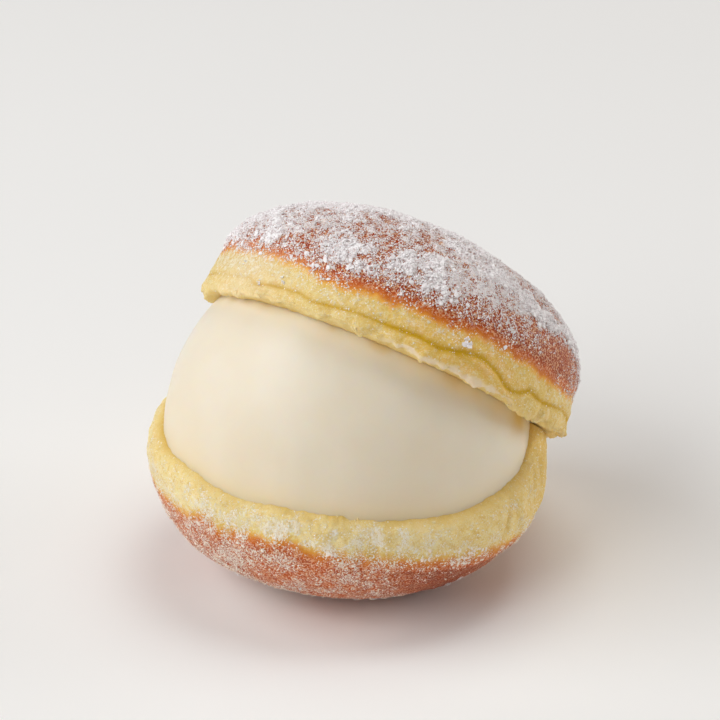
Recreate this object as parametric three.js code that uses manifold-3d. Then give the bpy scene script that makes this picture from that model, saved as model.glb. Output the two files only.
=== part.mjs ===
// A round yeast doughnut, slit across and opened like a clam round a ball of whipped cream.
// The lower half stands on a small flat spot at the origin and the open mouth faces -Y.
// The upper half leans to the back right, where the two halves meet in a closed seam.
// Units are millimetres and Z is up.
import * as THREE from "three";
import { mergeVertices } from "three/addons/utils/BufferGeometryUtils.js";
import Module from "manifold-3d";

// Lower half: a shallow bowl-shaped bun with a level body and a tilted cut on top.
const LOWER_RADIUS = 42.6;
const LOWER_SHIFT = 0; // middle of the lower half, beside the origin
const LOWER_DEPTH = 25.7; // from the widest level down to the round pole, before the foot is flattened
const WIDEST_BELOW_CUT = 5.2;
const LOWER_RIM_ROUNDING = 4;
const CUT_HEIGHT = 28.9; // middle of the cut face above the table
const CUT_SLOPE = 4.6; // degrees that the cut falls from left to right
const CUT_SLOPE_FADE = 14; // depth under the cut over which the body becomes level again
const POLE_LEAN = 4; // how far the lower pole sits to the right of the rim's middle
const RIM_RISE_FADE = 7; // depth under the cut over which the rises of the rim fade out
const RIM_RISE_INNER = 8; // how far inside the widest circle they start
const FRONT_RISE = 1.4; // how far the rim climbs up the cream at the front
const LEFT_RISE = 1.2;
const RIGHT_DIP = 0.6;
const SEAM_RISE = 9; // how far the rim climbs towards the upper half beside the seam, before it is trimmed
const SEAM_RISE_AT = 12; // degrees
const SEAM_RISE_HALF_WIDTH = 34; // degrees
const SEAM_FRONT_RISE = 4.5; // more of it at the front end of the seam, where the rim meets the lip
const SEAM_FRONT_RISE_AT = 356; // degrees
const SEAM_FRONT_RISE_HALF_WIDTH = 14; // degrees

// Upper half: a straight side band under a low dome.
const UPPER_RADIUS = 42.2; // at the lip
const SHOULDER_RADIUS = 41; // at the top of the band
const BAND_HEIGHT = 9.9;
const DOME_HEIGHT = 21;
const UPPER_LIP_ROUNDING = 1.6;
const UPPER_LEAN = 38.8; // degrees from the vertical
const UPPER_LEAN_TOWARDS = 52.5; // direction of the lean, degrees from +X towards +Y
const UPPER_CENTRE = new THREE.Vector3(7.3, 7.5, 41.59); // middle of its cut face

// The fold that runs round the band of the upper half, just above its torn lip.
const FOLD_HEIGHT = 3.5;
const FOLD_DEPTH = 0.9;
const FOLD_HALF_WIDTH = 0.6;

// Cream: a smooth ball that fills the mouth and stands out at the front and left.
const CREAM_RADIUS = 39.1;
const CREAM_CENTRE = new THREE.Vector3(0, 0, 30.1);
const CREAM_UNEVENNESS = 0.35;

// Sugar lumps that lie on the browned crusts.
const UPPER_LUMPS = 112;
const LOWER_LUMPS = 24;
const LUMP_RADIUS_SMALL = 0.4;
const LUMP_RADIUS_LARGE = 0.85;
const LUMP_SUNK = 0.4; // share of its radius that a lump sits under the crust
const GOLDEN_ANGLE = Math.PI * (3 - Math.sqrt(5));

const CONTACT_GAP = 0.3;
const SEAM_TOWARDS_UPPER = 0.85; // 0 would put the seam in the lower cut plane and 1 in the upper one
const SEAT_DEPTH = 0.02; // how far the seat of the cream is sunk into the lower cut face
const SEGMENTS_AROUND = 84;
const DOME_ROWS = 12;
const BOWL_ROWS = 14;
const CUTTER_SIZE = 240;

const wasm = await Module();
wasm.setup();

const lowerCentre = new THREE.Vector3(LOWER_SHIFT, 0, CUT_HEIGHT);
const slope = Math.tan(THREE.MathUtils.degToRad(CUT_SLOPE));
const lowerAxis = new THREE.Vector3(slope, 0, 1).normalize();
const lean = THREE.MathUtils.degToRad(UPPER_LEAN);
const leanTowards = THREE.MathUtils.degToRad(UPPER_LEAN_TOWARDS);
const upperAxis = new THREE.Vector3(
  Math.sin(lean) * Math.cos(leanTowards),
  Math.sin(lean) * Math.sin(leanTowards),
  Math.cos(lean),
);
const upperTurn = new THREE.Quaternion().setFromUnitVectors(new THREE.Vector3(0, 0, 1), upperAxis);
const upperPlace = new THREE.Matrix4().compose(UPPER_CENTRE, upperTurn, new THREE.Vector3(1, 1, 1));

function solidOf(geometry) {
  const bare = geometry.clone();
  bare.deleteAttribute("normal");
  bare.deleteAttribute("uv");
  const merged = mergeVertices(bare, 1e-3);
  const mesh = new wasm.Mesh({
    numProp: 3,
    vertProperties: new Float32Array(merged.attributes.position.array),
    triVerts: new Uint32Array(merged.index.array),
  });
  return new wasm.Manifold(mesh);
}

function geometryOf(solid) {
  const mesh = solid.getMesh();
  const geometry = new THREE.BufferGeometry();
  geometry.setAttribute("position", new THREE.BufferAttribute(new Float32Array(mesh.vertProperties), 3));
  geometry.setIndex(new THREE.BufferAttribute(new Uint32Array(mesh.triVerts), 1));
  geometry.computeVertexNormals();
  return geometry;
}

// A block that fills everything on the far side of a plane, to be cut away.
function beyondPlane(point, normal) {
  const block = new THREE.BoxGeometry(CUTTER_SIZE, CUTTER_SIZE, CUTTER_SIZE);
  block.translate(0, 0, CUTTER_SIZE / 2);
  const turn = new THREE.Quaternion().setFromUnitVectors(new THREE.Vector3(0, 0, 1), normal);
  block.applyQuaternion(turn);
  block.translate(point.x, point.y, point.z);
  return solidOf(block);
}

// A repeatable number from 0 to 1 for the given counter.
function scatter(counter, salt) {
  const wave = Math.sin(counter * 12.9898 + salt * 78.233) * 43758.5453;
  return wave - Math.floor(wave);
}

// Spins a profile round Z and moves every vertex by the given sculpting function.
function sculptedLathe(profile, sculpt) {
  const lathe = new THREE.LatheGeometry(profile, SEGMENTS_AROUND);
  lathe.rotateX(Math.PI / 2);
  lathe.deleteAttribute("normal");
  lathe.deleteAttribute("uv");
  const geometry = mergeVertices(lathe, 1e-3);
  const positions = geometry.attributes.position;
  const point = new THREE.Vector3();
  for (let i = 0; i < positions.count; i++) {
    point.fromBufferAttribute(positions, i);
    sculpt(point);
    positions.setXYZ(i, point.x, point.y, point.z);
  }
  return geometry;
}

// Hand-made roundness: a slow swelling round the bun, none at the axis.
function swelling(angle, phase) {
  const two = 0.009 * Math.cos(2 * angle + phase);
  const three = 0.007 * Math.cos(3 * angle + 2.1 * phase + 0.6);
  const seven = 0.004 * Math.cos(7 * angle - 1.3 * phase);
  return 1 + two + three + seven;
}

// A smooth rise round one direction, both in degrees.
function bump(angle, centre, halfWidth) {
  const turn = THREE.MathUtils.euclideanModulo(THREE.MathUtils.radToDeg(angle) - centre + 180, 360) - 180;
  return Math.exp(-((turn / halfWidth) ** 2));
}

// Lower half, with its cut face in the plane z = 0 before the slope is put in.
function lowerProfile() {
  const profile = [];
  for (let i = 0; i <= BOWL_ROWS; i++) {
    const climb = (i / BOWL_ROWS) * (Math.PI / 2);
    const radius = i === 0 ? 0 : LOWER_RADIUS * Math.sin(climb);
    profile.push(new THREE.Vector2(radius, -WIDEST_BELOW_CUT - LOWER_DEPTH * Math.cos(climb)));
  }
  const rimMiddle = LOWER_RADIUS - LOWER_RIM_ROUNDING;
  for (const turn of [25, 50, 70, 90]) {
    const angle = THREE.MathUtils.degToRad(turn);
    const radius = rimMiddle + LOWER_RIM_ROUNDING * Math.cos(angle);
    const height = WIDEST_BELOW_CUT * (Math.sin(angle) - 1);
    profile.push(new THREE.Vector2(radius, height));
  }
  profile.push(new THREE.Vector2(rimMiddle * 0.94, 0));
  profile.push(new THREE.Vector2(rimMiddle * 0.6, 0));
  profile.push(new THREE.Vector2(0, 0));
  return profile;
}

// Small dents where the rim was pressed by the knife and by fingers.
function rimDents(angle, height) {
  const near = Math.exp(-(((height + 5) / 5) ** 2));
  const dents = 0.2 * Math.cos(11 * angle + 0.4) + 0.15 * Math.cos(17 * angle + 2.0);
  return near * dents;
}

// The rim climbs a little up the cream at the front left, and up to the upper half beside the seam.
function rimRise(angle) {
  const front = FRONT_RISE * bump(angle, 258, 26) + LEFT_RISE * bump(angle, 213, 12) - RIGHT_DIP * bump(angle, 305, 12);
  const seam = SEAM_RISE * bump(angle, SEAM_RISE_AT, SEAM_RISE_HALF_WIDTH);
  return front + seam + SEAM_FRONT_RISE * bump(angle, SEAM_FRONT_RISE_AT, SEAM_FRONT_RISE_HALF_WIDTH);
}

function sculptLower(point) {
  const angle = Math.atan2(point.y, point.x);
  const radius = Math.hypot(point.x, point.y);
  const outer = THREE.MathUtils.smoothstep(radius, 0, LOWER_RADIUS * 0.8);
  const nearRim = THREE.MathUtils.smoothstep(radius, LOWER_RADIUS - RIM_RISE_INNER, LOWER_RADIUS - LOWER_RIM_ROUNDING);
  const nearCut = THREE.MathUtils.smoothstep(point.z, -RIM_RISE_FADE, 0);
  const grown = radius * swelling(angle, 0.8) + rimDents(angle, point.z) * outer;
  const depth = -point.z / (LOWER_DEPTH + WIDEST_BELOW_CUT);
  const levelAgain = WIDEST_BELOW_CUT + CUT_SLOPE_FADE;
  const share = 1 - THREE.MathUtils.smoothstep(-point.z, WIDEST_BELOW_CUT, levelAgain);
  point.x = grown * Math.cos(angle);
  point.y = grown * Math.sin(angle);
  point.z -= slope * point.x * share;
  point.z += rimRise(angle) * nearRim * nearCut;
  point.x += POLE_LEAN * depth ** 3;
  point.add(lowerCentre);
}

// The side band leans in a little from the lip to the shoulder.
function bandPoint(height) {
  const radius = THREE.MathUtils.lerp(UPPER_RADIUS, SHOULDER_RADIUS, height / BAND_HEIGHT);
  return new THREE.Vector2(radius, height);
}

// How far the fold climbs above or dips below its usual height on the way round.
function foldWander(angle) {
  const climb = 1.7 * bump(angle, 290, 9) - 1.5 * bump(angle, 303, 7) - 0.8 * bump(angle, 241, 9);
  return climb + 0.2 * Math.cos(5 * angle + 0.9) + 0.15 * Math.cos(8 * angle + 2.2);
}

// Upper half, with its cut face in the plane z = 0 and the dome above.
function upperProfile() {
  const lipMiddle = UPPER_RADIUS - UPPER_LIP_ROUNDING;
  const profile = [new THREE.Vector2(0, 0)];
  profile.push(new THREE.Vector2(lipMiddle * 0.6, 0));
  profile.push(new THREE.Vector2(lipMiddle * 0.93, 0));
  for (const turn of [90, 50, 20]) {
    const angle = THREE.MathUtils.degToRad(turn);
    const radius = lipMiddle + UPPER_LIP_ROUNDING * Math.cos(angle);
    profile.push(new THREE.Vector2(radius, UPPER_LIP_ROUNDING * (1 - Math.sin(angle))));
  }
  for (const offset of [-2.6, -1, 0, 1, 2.6]) {
    profile.push(bandPoint(FOLD_HEIGHT + offset * FOLD_HALF_WIDTH));
  }
  profile.push(bandPoint((FOLD_HEIGHT + BAND_HEIGHT) / 2 + 1));
  for (let i = 0; i <= DOME_ROWS; i++) {
    const climb = (i / DOME_ROWS) * (Math.PI / 2);
    const radius = i === DOME_ROWS ? 0 : SHOULDER_RADIUS * Math.cos(climb);
    profile.push(new THREE.Vector2(radius, BAND_HEIGHT + DOME_HEIGHT * Math.sin(climb)));
  }
  return profile;
}

function sculptUpper(point) {
  const angle = Math.atan2(point.y, point.x);
  const radius = Math.hypot(point.x, point.y);
  const outer = THREE.MathUtils.smoothstep(radius, UPPER_RADIUS * 0.55, UPPER_RADIUS * 0.95);
  const nearFold = (point.z - FOLD_HEIGHT) / FOLD_HALF_WIDTH;
  const depth = FOLD_DEPTH * (0.7 + 0.3 * Math.cos(5 * angle + 1.1));
  const fold = depth * Math.exp(-nearFold * nearFold) * outer;
  const lowOnBand = Math.exp(-((point.z / FOLD_HEIGHT) ** 2));
  const tear = (0.3 * Math.cos(13 * angle + 0.7) + 0.25 * Math.cos(19 * angle + 2.9)) * lowOnBand * outer;
  const grown = radius * swelling(angle, 2.3) - fold + tear;
  const middle = Math.sin(Math.PI * THREE.MathUtils.clamp(point.z / (2 * FOLD_HEIGHT), 0, 1));
  point.x = grown * Math.cos(angle);
  point.y = grown * Math.sin(angle);
  point.z += foldWander(angle) * middle * outer;
}

// Squashed sugar lumps in a sunflower pattern over a crust.
// The function place gives the spot and the outward normal for a share of the way out and an angle.
function sugarLumps(count, salt, place) {
  const lumps = [];
  for (let i = 0; i < count; i++) {
    const share = (i + 0.2 + 0.6 * scatter(i, salt)) / count;
    const angle = i * GOLDEN_ANGLE + 0.8 * (scatter(i, salt + 1) - 0.5);
    const size = THREE.MathUtils.lerp(LUMP_RADIUS_LARGE, LUMP_RADIUS_SMALL, scatter(i, salt + 2) ** 0.7);
    const { spot, normal } = place(share, angle);
    const lump = new THREE.IcosahedronGeometry(size, 0);
    lump.rotateZ(6 * scatter(i, salt + 3));
    lump.scale(1, 0.75 + 0.25 * scatter(i, salt + 4), 0.7);
    lump.applyQuaternion(new THREE.Quaternion().setFromUnitVectors(new THREE.Vector3(0, 0, 1), normal));
    const rise = size * (0.7 - LUMP_SUNK);
    lump.translate(spot.x + normal.x * rise, spot.y + normal.y * rise, spot.z + normal.z * rise);
    lumps.push(solidOf(lump));
  }
  return lumps;
}

// A spot on the sculpted dome of the upper half, in that half's own frame.
function upperCrustSpot(share, angle) {
  const radius = SHOULDER_RADIUS * 0.95 * Math.sqrt(share);
  const at = (distance) => {
    const height = BAND_HEIGHT + DOME_HEIGHT * Math.sqrt(1 - (distance / SHOULDER_RADIUS) ** 2);
    const point = new THREE.Vector3(distance * Math.cos(angle), distance * Math.sin(angle), height);
    sculptUpper(point);
    return point;
  };
  return crustSpot(at, radius, angle, 1);
}

// A spot on the bowl of the lower half, between the flat foot and the pale band.
function lowerCrustSpot(share, angle) {
  const level = THREE.MathUtils.lerp(0.3, 0.58, share);
  const at = (climb) => {
    const turn = climb * (Math.PI / 2);
    const radius = LOWER_RADIUS * Math.cos(turn);
    const height = -WIDEST_BELOW_CUT - LOWER_DEPTH * Math.sin(turn);
    const point = new THREE.Vector3(radius * Math.cos(angle), radius * Math.sin(angle), height);
    sculptLower(point);
    return point;
  };
  return crustSpot(at, level, angle, 0.02);
}

// The spot and the outward normal, from two neighbours along the profile and the direction round the bun.
function crustSpot(at, along, angle, step) {
  const spot = at(along);
  const run = at(along + step).sub(at(along - step));
  const round = new THREE.Vector3(-Math.sin(angle), Math.cos(angle), 0);
  const normal = new THREE.Vector3().crossVectors(run, round).normalize();
  return { spot, normal };
}

function fused(core, lumps) {
  let solid = core;
  for (const lump of lumps) {
    solid = solid.add(lump);
  }
  return solid;
}

// The seam where the halves meet passes through the line where the two cut planes cross.
const seamSum = lowerAxis.clone().multiplyScalar(1 - SEAM_TOWARDS_UPPER).addScaledVector(upperAxis, SEAM_TOWARDS_UPPER);
const seamNormal = seamSum.clone().normalize();
const seamOffset = THREE.MathUtils.lerp(lowerAxis.dot(lowerCentre), upperAxis.dot(UPPER_CENTRE), SEAM_TOWARDS_UPPER);
const seamPoint = seamNormal.clone().multiplyScalar(seamOffset / seamSum.length());

function shifted(point, normal, distance) {
  return point.clone().addScaledVector(normal, distance);
}

// Ball of cream, larger by the given margin.
function creamBall(margin) {
  const ball = new THREE.SphereGeometry(CREAM_RADIUS, 60, 38);
  ball.rotateX(Math.PI / 2);
  const positions = ball.attributes.position;
  const point = new THREE.Vector3();
  for (let i = 0; i < positions.count; i++) {
    point.fromBufferAttribute(positions, i);
    const level = point.z / CREAM_RADIUS;
    const across = Math.sqrt(1 - Math.min(1, level * level));
    const angle = Math.atan2(point.y, point.x);
    const ripple = Math.cos(2 * angle + 3 * level) + 0.6 * Math.cos(5 * angle - 4 * level + 1);
    point.multiplyScalar(1 + (margin + CREAM_UNEVENNESS * ripple * across) / CREAM_RADIUS);
    point.add(CREAM_CENTRE);
    positions.setXYZ(i, point.x, point.y, point.z);
  }
  return solidOf(ball);
}

// Lower half: it stays under the seam at the back and under the upper cut face in front of it,
// the cream gets its seat inside the raised rim, and the pole is flattened into a foot on the table.
const underUpperCut = shifted(UPPER_CENTRE, upperAxis, -CONTACT_GAP);
const roof = beyondPlane(shifted(seamPoint, seamNormal, -CONTACT_GAP / 2), seamNormal)
  .intersect(beyondPlane(underUpperCut, upperAxis));
const down = new THREE.Vector3(0, 0, -1);
const creamSeat = creamBall(CONTACT_GAP)
  .subtract(beyondPlane(shifted(lowerCentre, lowerAxis, -SEAT_DEPTH), lowerAxis.clone().negate()));
const lowerWhole = solidOf(sculptedLathe(lowerProfile(), sculptLower));
const lowerLumpy = fused(lowerWhole, sugarLumps(LOWER_LUMPS, 5, lowerCrustSpot));
const lowerSolid = lowerLumpy
  .subtract(roof)
  .subtract(creamSeat)
  .subtract(beyondPlane(new THREE.Vector3(0, 0, 0), down));

// Upper half, cut along the same seam in its own frame.
const toUpper = upperPlace.clone().invert();
const seamInUpper = shifted(seamPoint, seamNormal, CONTACT_GAP / 2).applyMatrix4(toUpper);
const belowSeam = seamNormal.clone().negate().applyQuaternion(upperTurn.clone().invert());
const upperWhole = solidOf(sculptedLathe(upperProfile(), sculptUpper));
const upperSolid = fused(upperWhole, sugarLumps(UPPER_LUMPS, 11, upperCrustSpot))
  .subtract(beyondPlane(seamInUpper, belowSeam));

// The cream is cut off flat where it lies on the two cut faces.
const creamSolid = creamBall(0)
  .subtract(beyondPlane(shifted(lowerCentre, lowerAxis, CONTACT_GAP), lowerAxis.clone().negate()))
  .subtract(beyondPlane(underUpperCut, upperAxis));

const lowerCrust = new THREE.MeshStandardMaterial({ color: 0xc98f52, roughness: 0.75, metalness: 0 });
const upperCrust = new THREE.MeshStandardMaterial({ color: 0xd2a679, roughness: 0.75, metalness: 0 });
const whippedCream = new THREE.MeshStandardMaterial({ color: 0xefe6d3, roughness: 0.5, metalness: 0 });

function piece(name, solid, material) {
  const mesh = new THREE.Mesh(geometryOf(solid), material);
  mesh.name = name;
  return mesh;
}

const upperHalf = new THREE.Group();
upperHalf.position.copy(UPPER_CENTRE);
upperHalf.quaternion.copy(upperTurn);
upperHalf.add(piece("bun_top", upperSolid, upperCrust));

const doughnut = new THREE.Group();
doughnut.name = "cream_doughnut";
doughnut.add(piece("bun_bottom", lowerSolid, lowerCrust));
doughnut.add(piece("cream_filling", creamSolid, whippedCream));
doughnut.add(upperHalf);

export default doughnut;
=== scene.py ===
import math

import bpy
import numpy as np
from mathutils import Matrix, Vector


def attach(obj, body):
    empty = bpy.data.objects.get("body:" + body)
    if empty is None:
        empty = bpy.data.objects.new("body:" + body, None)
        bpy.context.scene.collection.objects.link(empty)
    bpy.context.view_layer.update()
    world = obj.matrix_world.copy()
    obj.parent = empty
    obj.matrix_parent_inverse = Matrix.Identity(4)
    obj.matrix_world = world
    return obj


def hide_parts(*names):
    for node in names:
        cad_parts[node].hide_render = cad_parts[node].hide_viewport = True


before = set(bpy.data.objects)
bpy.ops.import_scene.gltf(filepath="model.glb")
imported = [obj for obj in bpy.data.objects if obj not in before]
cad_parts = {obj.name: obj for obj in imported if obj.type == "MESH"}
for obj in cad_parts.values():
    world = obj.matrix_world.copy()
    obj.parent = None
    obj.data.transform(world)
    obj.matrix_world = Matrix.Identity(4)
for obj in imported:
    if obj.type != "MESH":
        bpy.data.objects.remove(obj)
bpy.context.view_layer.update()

MM = 0.001
UPRIGHT = Vector((0, 0, 1))
FULL_TURN = 2 * math.pi

# Lower half
LOWER_RADIUS = 42.6
LOWER_DEPTH = 25.7
WIDEST_BELOW_CUT = 5.2
LOWER_RIM_ROUNDING = 4.0
CUT_SLOPE = 4.6
CUT_SLOPE_FADE = 14.0
POLE_LEAN = 4.0
RIM_RISE_FADE = 7.0
RIM_RISE_INNER = 8.0
# Where the rim climbs or dips at the front, the left, the right and twice beside the seam:
# height, angle and half width
RIM_RISES = [(1.4, 258, 26), (1.2, 213, 12), (-0.6, 305, 12), (9.0, 12, 34), (4.5, 356, 14)]
# Shallow dents round the widest line: depth, number round the half and phase
RIM_DENTS = [(0.2, 11, 0.4), (0.15, 17, 2.0)]
RIM_DENTS_BELOW_CUT = 5.0
LOWER_CENTRE = np.array([0.0, 0.0, 28.9])
# Pleats across the rim at the right
PLEATS = 7
FIRST_PLEAT_AT = 292
PLEAT_STEP = 9
PLEAT_HALF_WIDTH = 0.9
PLEAT_BELOW_CUT = 3.2
PLEAT_REACH = 2.6

# Upper half
UPPER_RADIUS = 42.2
SHOULDER_RADIUS = 41.0
BAND_HEIGHT = 9.9
DOME_HEIGHT = 21.0
UPPER_LIP_ROUNDING = 1.6
UPPER_LIP_ENDS_AT = 20.0
UPPER_LEAN = 38.8
UPPER_LEAN_TOWARDS = 52.5
UPPER_CENTRE = np.array([7.3, 7.5, 41.59])
FOLD_HEIGHT = 3.5
FOLD_DEPTH = 0.9
FOLD_HALF_WIDTH = 0.6
# Where the band round the fold climbs or dips: height, angle and half width
FOLD_BUMPS = [(1.7, 290, 9), (-1.5, 303, 7), (-0.8, 241, 9)]
# Waves along the fold and in and out along the lip: height, number round the half and phase
FOLD_WAVES = [(0.2, 5, 0.9), (0.15, 8, 2.2)]
LIP_WAVES = [(0.3, 13, 0.7), (0.25, 19, 2.9)]
# The crease of the fold: angle and height above the cut
FOLD_PATH = [
    (180, 3.2), (205, 3.4), (215, 3.5), (220, 2.3), (224, 3.0), (230, 3.3), (236, 3.2), (240, 2.5),
    (246, 2.8), (252, 3.3), (262, 3.5), (272, 3.7), (278, 3.2), (283, 4.0), (288, 4.9), (292, 5.1),
    (297, 3.9), (302, 2.1), (305, 1.7), (308, 2.3), (312, 3.8), (317, 3.0), (322, 3.1), (331, 4.0),
    (345, 3.8), (360, 3.4),
]
# The torn edge of the lip: angle and height above the cut
LIP_PATH = [
    (0, 0.8), (12, 0.2), (180, -0.5), (208, -0.7), (219, -0.3), (228, 0.3), (235, 0.6), (242, 0.2),
    (248, 0.4), (258, 0.2), (266, 0.6), (272, 0.0), (278, -0.4), (284, -0.2), (292, -0.6), (299, -0.2),
    (306, -0.3), (311, -0.9), (322, -0.6), (332, -0.5), (341, 0.2), (351, 0.8), (360, 0.8),
]
# How ragged that edge is, and where it is more or less so: height, angle and half width
LIP_RAGGEDNESS = 1.2
LIP_RAGGED_PLACES = [(0.8, 320, 16), (-0.75, 212, 22)]

# The seam at the back where the halves meet
SEAM_GAP = 0.3
SEAM_TOWARDS_UPPER = 0.85

# Cream
CREAM_RADIUS = 39.1
CREAM_CENTRE = np.array([0.0, 0.0, 30.1])
CREAM_UNEVENNESS = 0.35
CREAM_PRESSED_IN = 0.5
# Golden stains on the cream under the torn lip: place, size and strength
STAINS = [
    ((-16.5, -9.5, 64.5), (1.6, 1.6, 1.6), 0.35), ((-2.2, -19.9, 63.9), (1.3, 1.3, 1.3), 0.45),
    ((6.9, -22.5, 61.6), (2.0, 2.0, 2.0), 0.8), ((21.2, -23.1, 53.8), (2.2, 2.2, 2.2), 0.4),
    ((35.6, -12.8, 39.6), (3.6, 3.6, 2.6), 1.15),
]

# Soft relief of each skin, in layers: depth, width of the lumps and seed
LOWER_SKIN = [(0.36, 7, 21), (0.3, 2.8, 23), (0.1, 1.1, 25)]
UPPER_SKIN = [(0.22, 9, 63), (0.14, 2.4, 64), (0.06, 1.1, 65)]
CREAM_SKIN = [(0.30, 14, 81), (0.07, 4.5, 83)]

# The lines where browning starts, above the floor and above the upper cut, and where they climb or dip
LOWER_BROWN_LINE = 18.5
LOWER_BROWN_TILT = 6.0
LOWER_BROWN_HIGHEST_AT = 232
LOWER_BROWN_WAVER = [(-1.8, 305, 24), (2.2, 253.5, 4.5), (1.3, 226, 5)]
UPPER_BROWN_LINE = 8.0
UPPER_BROWN_WAVER = [
    (1.1, 205, 25), (-0.9, 245, 6), (-0.5, 262, 4), (-0.4, 278, 6), (0.6, 290, 10), (-0.8, 324, 14),
]

# Places on the lower half: angle and half width
BOWL_DARK = (306, 22)
BOWL_BARE = (306, 26)
BOWL_SUGARED = (224, 14)
RIM_POWDERED_LEFT = (215, 45)
RIM_POWDERED_FRONT = (268, 40)
RIM_BARE = (310, 28)
RIM_BAKED = (357, 36)
RIM_GOLDEN = (357, 34)
# the next place is where the painted shade on the rim beside the cream is deepest
RIM_GOLDEN_INSIDE = (195, 22)
RIM_FLAP = (302, 4.5)
RIM_FLAP_BELOW_CUT = 0.7
RIM_FLAP_RADIUS = 39.9
RIM_TORN_RADIUS = 39.5
# Spans over which something on it sets in: radii, heights from the cut, and height above the floor
RIM_RADII = (33, 38)
RIM_LEVELS = (-9, -4)
LOWER_CUT_EDGE = (39.2, 42.0)
FOOT_EDGE = (0.6, 2.0)

# Places on the upper half: angle and half width
CROWN_THIN = (324, 22)
CROWN_THICK = (284, 14)
CROWN_SUGARED = (200, 26)
STRIP_BARE = (288, 30)
BAND_POWDERED = (200, 30)
BAND_CREAMED = (212, 17)
FOLD_DEEP = (287, 20)
FOLD_WIDE = (300, 20)
FOLD_ROLLED = (300, 14)
FOLD_BRANCH = (287, 6)
FOLD_BRANCH_HEIGHT = 3.4
FOLD_BRANCH_FROM = 285
FOLD_BRANCH_SLOPE = 0.09
LIP_FLAKES = (222, 22)
LIP_FLAPS = (321, 15)
# Spans over which something on it sets in or ends: angles, heights from the cut, and radii
BAND_GOLDEN_STARTS = (240, 285)
BAND_GOLDEN_ENDS = (298, 316)
LIP_CREAMY_STARTS = (258, 270)
LIP_CREAMY_ENDS = (302, 310)
FOLD_STRONG_STARTS = (210, 222)
UPPER_CUT_RADII = (30, 38)
UPPER_CUT_EDGE = (0.1, 1.2)
LIP_RADII = (37, 41)
# Clumps of sugar on the pale band: angle, height and size
BAND_CLUMPS = [
    (285.2, 7.6, 0.7), (285.0, 6.6, 0.7), (284.7, 5.6, 0.6), (228.5, 4.6, 0.7), (220.5, 2.8, 0.6),
    (207.0, 6.4, 1.1),
]

# Lumps of sugar, which stand where those of the solids do
UPPER_LUMPS = 112
UPPER_LUMP_SALT = 11
UPPER_LUMP_REACH = 0.95
LOWER_LUMPS = 24
LOWER_LUMP_SALT = 5
LOWER_LUMPS_FROM = 0.3
LOWER_LUMPS_TO = 0.58
LUMP_RADIUS_SMALL = 0.4
LUMP_RADIUS_LARGE = 0.85
LUMP_CRYSTALS = 26
LUMP_SPREAD = 0.42
LUMP_CRYSTAL_SIZE = 0.5
LUMP_FLATNESS = 0.75
LUMP_LIFT = 0.2
GOLDEN_ANGLE = math.pi * (3 - math.sqrt(5))

# Corners and sides of a chip, a flake and a grain of sugar, each about one unit across
CHIP = [(0.6, 0, -0.15), (-0.3, 0.52, -0.15), (-0.3, -0.52, -0.15), (0, 0, 0.4)]
FLAKE = [(0.6, 0, -0.05), (-0.3, 0.52, -0.05), (-0.3, -0.52, -0.05), (0, 0, 0.1)]
CHIP_SIDES = [(0, 2, 1), (0, 1, 3), (1, 2, 3), (2, 0, 3)]
REACH = 0.55
GRAIN = [(REACH, 0, 0), (-REACH, 0, 0), (0, REACH, 0), (0, -REACH, 0), (0, 0, REACH), (0, 0, -REACH)]
GRAIN_SIDES = [(0, 2, 4), (2, 1, 4), (1, 3, 4), (3, 0, 4), (2, 0, 5), (1, 2, 5), (3, 1, 5), (0, 3, 5)]

# Points round each piece and rows from pole to pole, which keep each half under 200,000 triangles.
# Within the hidden radius the cream covers the cut faces, so there are few rows.
LOWER_AROUND = 690
LOWER_BOWL_ROWS = 92
LOWER_BOWL_SPACING = 1.3
LOWER_RIM_ROWS = 28
LOWER_FACE_ROWS = 14
UPPER_AROUND = 588
UPPER_FACE_ROWS = 6
UPPER_LIP_ROWS = 8
UPPER_BAND_ROWS = 34
UPPER_BAND_ABOVE_LIP = 0.2
UPPER_DOME_ROWS = 116
UPPER_DOME_SPACING = 0.8
HIDDEN_ROWS = 4
HIDDEN_RADIUS = 34.0
CREAM_AROUND = 360
CREAM_ROWS = 170
# Radii over which open crumb sets in on the cut faces, and fine relief near the poles
CRUMB_RADII = (HIDDEN_RADIUS, 37)
POLE_RADII = (2, 12)

# Stage, in metres, and its lights: azimuth, elevation, power and colour
FLOOR_HALF = 3.0
LIGHT_DISTANCE = 1.8
LIGHT_WIDTH = 1.2
LIGHT_AIM = Vector((0.0, 0.0, 0.035))
LIGHTS = {
    "key": (180, 40, 11.6, (0.97, 0.985, 1.0)),
    "front": (222, 34, 13.2, (0.98, 0.99, 1.0)),
    "side": (12, 8, 14.4, (1.0, 0.99, 0.97)),
    "top": (50, 74, 10.4, (1.0, 0.99, 0.98)),
}
SURROUND_COLOUR = (1.0, 0.88, 0.72, 1.0)
SURROUND_STRENGTH = 0.14
CAMERA_LENS_MM = 139.5
CAMERA_SENSOR_MM = 36.0
CAMERA_NEAREST = 0.05
CAMERA_ELEVATION = 26.0
CAMERA_DISTANCE = 0.6
CAMERA_AIM = Vector((0.002795, 0.00754, 0.04276))

# Noise: factors that mix the whole numbers of a lattice point, a shift from one layer to the next,
# and a turn that keeps the lattices of the layers from lining up
MIX_X, MIX_Y, MIX_Z = 374761393, 668265263, 1440662683
MIX_AGAIN = 1274126177
CRUMB_MIX = 97
LAYER_SHIFT = 17.3
OBLIQUE = np.array(Matrix.Rotation(0.9, 3, Vector((1.0, 0.7, 0.4))))


# Soft shapes of one value
def smoothstep(value, low, high):
    share = np.clip((value - low) / (high - low), 0, 1)
    return share * share * (3 - 2 * share)


def bell(offset, half_width):
    """1 in the middle, falling softly to 0 on both sides."""
    return np.exp(-((offset / half_width) ** 2))


def fade_out(distance, reach):
    """1 up to a place, falling to 0 beyond it."""
    return np.exp(-np.maximum(distance, 0) / reach)


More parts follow.
